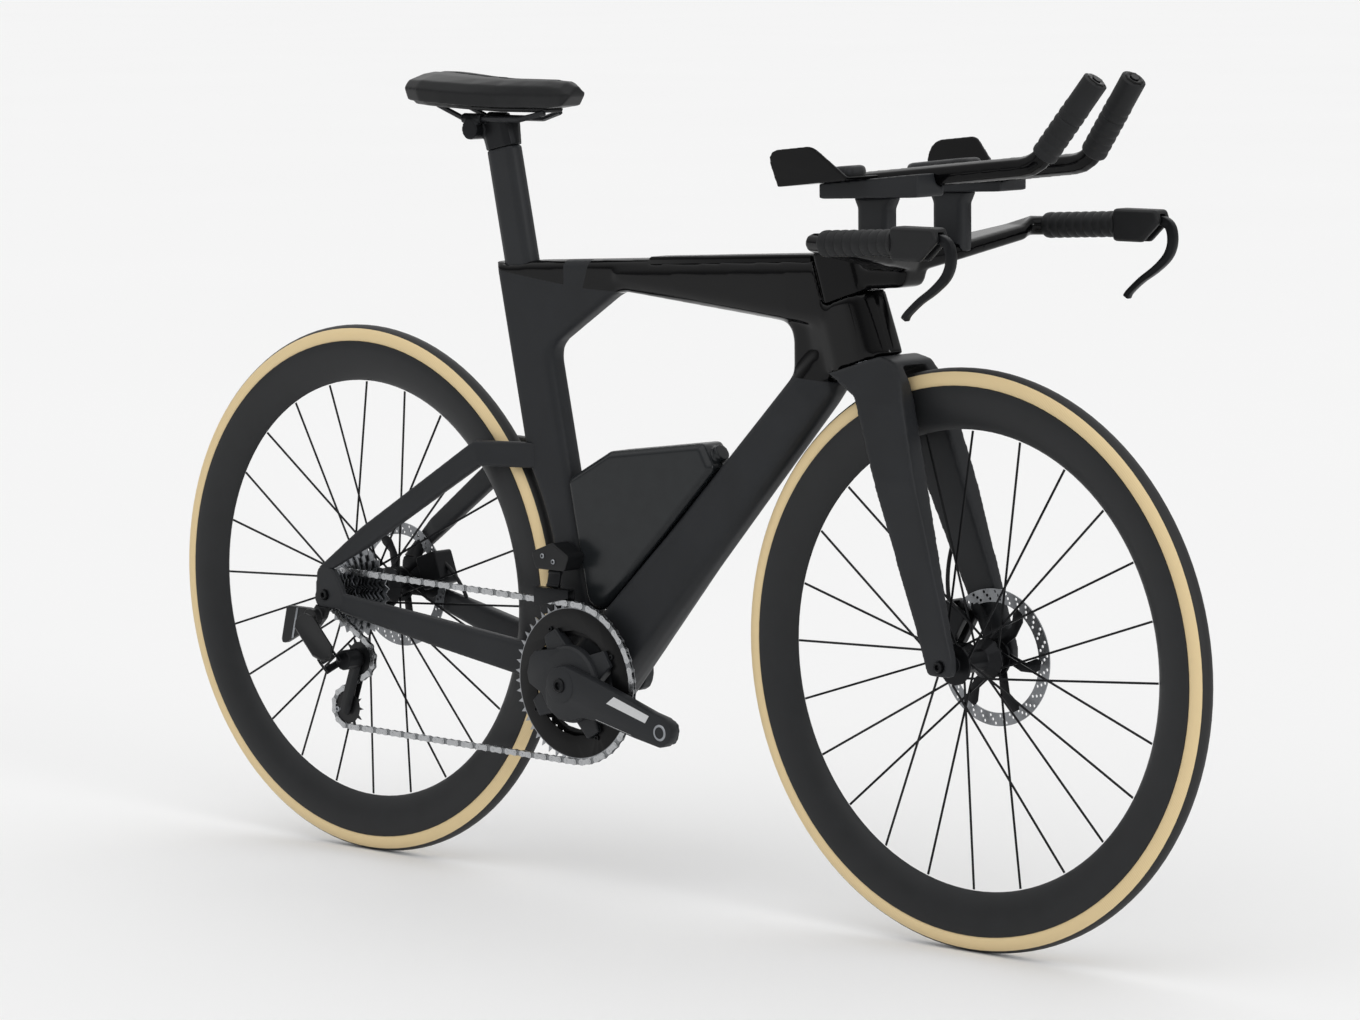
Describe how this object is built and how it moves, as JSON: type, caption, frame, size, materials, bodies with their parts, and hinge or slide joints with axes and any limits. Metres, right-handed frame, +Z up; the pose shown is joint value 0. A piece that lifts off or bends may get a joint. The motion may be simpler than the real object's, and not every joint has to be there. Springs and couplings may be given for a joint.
{
  "type": "time trial bicycle",
  "caption": "Time trial road bicycle with a deep aero frame, low base bar with arm rests and raised extensions, disc brakes, deep-rim wheels and a geared chain drive.",
  "frame": {"origin": "on the ground midway between the two wheel axles", "axes": "+X forward, +Y to the rider's left, +Z up; the chain drive is on -Y"},
  "size_m": [1.672, 0.428, 1.0157],
  "materials": {
    "matte_carbon": "matte dark grey carbon moulding",
    "gloss_carbon": "gloss black lacquered carbon",
    "tyre_rubber": "black tread with tan side walls",
    "black_steel": "black bladed steel",
    "black_alloy": "black anodised alloy",
    "bare_alloy": "machined alloy and bearing steel",
    "steel": "machined steel",
    "saddle_cover": "matte black synthetic cover over foam",
    "pad_fabric": "black foam pad with a fabric face",
    "grip_tape": "black ribbed tape and soft hood rubber",
    "black_plastic": "black moulded plastic",
    "smoke_plastic": "dark grey bottle plastic",
    "carbon_rail": "woven carbon rail",
    "brake_lining": "sintered brake lining",
    "hose_rubber": "black hose"
  },
  "bodies": {
    "frame": {"front_triangle": "matte_carbon", "seat_stays": "matte_carbon", "chain_stays": "matte_carbon", "frame_bearings": "bare_alloy", "top_tube_lid": "gloss_carbon", "bottle": "smoke_plastic", "fd_body": "black_alloy", "rd_body": "black_alloy", "rear_caliper": "black_alloy", "rear_hose": "hose_rubber", "rear_axle": "black_alloy", "chain": "steel"},
    "seatpost": {"seatpost": "matte_carbon", "seatpost_head": "matte_carbon", "saddle_rails": "carbon_rail", "saddle_shell": "gloss_carbon", "saddle_pad": "saddle_cover"},
    "steering": {"fork": "matte_carbon", "base_bar": "gloss_carbon", "risers": "matte_carbon", "tilt_mounts": "black_alloy", "extensions": "gloss_carbon", "extension_grips": "grip_tape", "arm_cups": "gloss_carbon", "arm_pads": "pad_fabric", "bar_grips": "grip_tape", "brake_hoods": "grip_tape", "front_caliper": "black_alloy", "front_hose": "hose_rubber", "front_axle": "black_alloy"},
    "lever_left": {"lever_left": "black_alloy"},
    "lever_right": {"lever_right": "black_alloy"},
    "shift_button_left": {"shift_button_left": "black_plastic"},
    "shift_button_right": {"shift_button_right": "black_plastic"},
    "front_wheel": {"front_tyre": "tyre_rubber", "front_rim": "matte_carbon", "front_spokes": "black_steel", "front_hub": "black_alloy", "front_rotor": "steel"},
    "rear_wheel": {"rear_tyre": "tyre_rubber", "rear_rim": "matte_carbon", "rear_spokes": "black_steel", "rear_hub": "black_alloy", "rear_rotor": "steel"},
    "cassette": {"cassette": "steel"},
    "cranks": {"crank_right": "matte_carbon", "crank_left": "matte_carbon", "spindle": "bare_alloy", "chainrings": "steel"},
    "fd_link": {"fd_link": "black_alloy"},
    "fd_cage": {"fd_cage": "black_alloy"},
    "rd_link": {"rd_link": "black_alloy"},
    "rd_knuckle": {"rd_knuckle": "black_alloy"},
    "rd_cage": {"rd_cage": "black_alloy"},
    "guide_pulley": {"guide_pulley": "black_plastic"},
    "tension_pulley": {"tension_pulley": "black_plastic"},
    "front_pad_outer": {"front_pad_outer": "brake_lining"},
    "front_pad_inner": {"front_pad_inner": "brake_lining"},
    "rear_pad_outer": {"rear_pad_outer": "brake_lining"},
    "rear_pad_inner": {"rear_pad_inner": "brake_lining"}
  },
  "joints": [
    {"name": "steering", "type": "hinge", "parent": "frame", "child": "steering", "pos_m": [0.45604, 0, 0.32477], "axis": [-0.3007, 0, 0.9537], "range_deg": [-35, 35]},
    {"name": "seatpost_height", "type": "slide", "parent": "frame", "child": "seatpost", "axis": [-0.2045, 0, 0.9789], "range_m": [-0.04, 0.04]},
    {"name": "front_wheel_spin", "type": "hinge", "parent": "steering", "child": "front_wheel", "pos_m": [0.498, 0, 0.338], "axis": [0, 1, 0], "continuous": true},
    {"name": "rear_wheel_spin", "type": "hinge", "parent": "frame", "child": "rear_wheel", "pos_m": [-0.498, 0, 0.338], "axis": [0, 1, 0], "continuous": true},
    {"name": "crank_spin", "type": "hinge", "parent": "frame", "child": "cranks", "pos_m": [-0.09021, 0, 0.261], "axis": [0, 1, 0], "continuous": true, "deforming": ["chain"]},
    {"name": "cassette_spin", "type": "hinge", "parent": "frame", "child": "cassette", "pos_m": [-0.498, 0, 0.338], "axis": [0, 1, 0], "continuous": true},
    {"name": "rd_shift", "type": "hinge", "parent": "frame", "child": "rd_link", "pos_m": [-0.51015, -0.102, 0.30195], "axis": [0.5452, 0.6548, 0.5234], "range_deg": [-20, 34]},
    {"name": "rd_level", "type": "hinge", "parent": "rd_link", "child": "rd_knuckle", "pos_m": [-0.47185, -0.102, 0.26205], "axis": [0.5452, 0.6548, 0.5234], "range_deg": [-37, 23]},
    {"name": "rd_cage_swing", "type": "hinge", "parent": "rd_knuckle", "child": "rd_cage", "pos_m": [-0.467, -0.049, 0.257], "axis": [0, 1, 0], "range_deg": [-45, 15], "stiffness_Nm_per_rad": 2},
    {"name": "guide_pulley_spin", "type": "hinge", "parent": "rd_cage", "child": "guide_pulley", "pos_m": [-0.467, -0.049, 0.257], "axis": [0, 1, 0], "continuous": true},
    {"name": "tension_pulley_spin", "type": "hinge", "parent": "rd_cage", "child": "tension_pulley", "pos_m": [-0.49064, -0.049, 0.19111], "axis": [0, 1, 0], "continuous": true},
    {"name": "fd_shift", "type": "hinge", "parent": "frame", "child": "fd_link", "pos_m": [-0.12421, -0.0453, 0.39399], "axis": [1, 0, 0], "range_deg": [0, 26.04]},
    {"name": "fd_level", "type": "hinge", "parent": "fd_link", "child": "fd_cage", "pos_m": [-0.12421, -0.049, 0.37799], "axis": [1, 0, 0], "range_deg": [-29.04, 3]},
    {"name": "lever_left_pull", "type": "hinge", "parent": "steering", "child": "lever_left", "pos_m": [0.60202, 0.199, 0.83602], "axis": [0, 1, 0], "range_deg": [0, 22], "stiffness_Nm_per_rad": 1.5, "springref_deg": -5.73},
    {"name": "lever_right_pull", "type": "hinge", "parent": "steering", "child": "lever_right", "pos_m": [0.60202, -0.199, 0.83602], "axis": [0, 1, 0], "range_deg": [0, 22], "stiffness_Nm_per_rad": 1.5, "springref_deg": -5.73},
    {"name": "front_pad_outer_slide", "type": "slide", "parent": "steering", "child": "front_pad_outer", "axis": [0, -1, 0], "range_m": [0, 0.0005]},
    {"name": "front_pad_inner_slide", "type": "slide", "parent": "steering", "child": "front_pad_inner", "axis": [0, 1, 0], "range_m": [0, 0.0005]},
    {"name": "rear_pad_outer_slide", "type": "slide", "parent": "frame", "child": "rear_pad_outer", "axis": [0, -1, 0], "range_m": [0, 0.0005]},
    {"name": "rear_pad_inner_slide", "type": "slide", "parent": "frame", "child": "rear_pad_inner", "axis": [0, 1, 0], "range_m": [0, 0.0005]},
    {"name": "shift_left_press", "type": "slide", "parent": "steering", "child": "shift_button_left", "axis": [-0.6088, 0.0974, -0.7873], "range_m": [0, 0.001], "stiffness_N_per_m": 800, "springref_m": -0.0005},
    {"name": "shift_right_press", "type": "slide", "parent": "steering", "child": "shift_button_right", "axis": [-0.6088, -0.0974, -0.7873], "range_m": [0, 0.001], "stiffness_N_per_m": 800, "springref_m": -0.0005}
  ],
  "couplings": [
    {"joint": "cassette_spin", "follows": "crank_spin", "ratio": 3.4286},
    {"joint": "guide_pulley_spin", "follows": "crank_spin", "ratio": -4},
    {"joint": "tension_pulley_spin", "follows": "crank_spin", "ratio": 4},
    {"joint": "rd_level", "follows": "rd_shift", "ratio": -1},
    {"joint": "fd_level", "follows": "fd_shift", "ratio": -1},
    {"joint": "front_pad_outer_slide", "follows": "lever_left_pull", "m_per_rad": 0.00104},
    {"joint": "front_pad_inner_slide", "follows": "lever_left_pull", "m_per_rad": 0.00104},
    {"joint": "rear_pad_outer_slide", "follows": "lever_right_pull", "m_per_rad": 0.00104},
    {"joint": "rear_pad_inner_slide", "follows": "lever_right_pull", "m_per_rad": 0.00104}
  ]
}
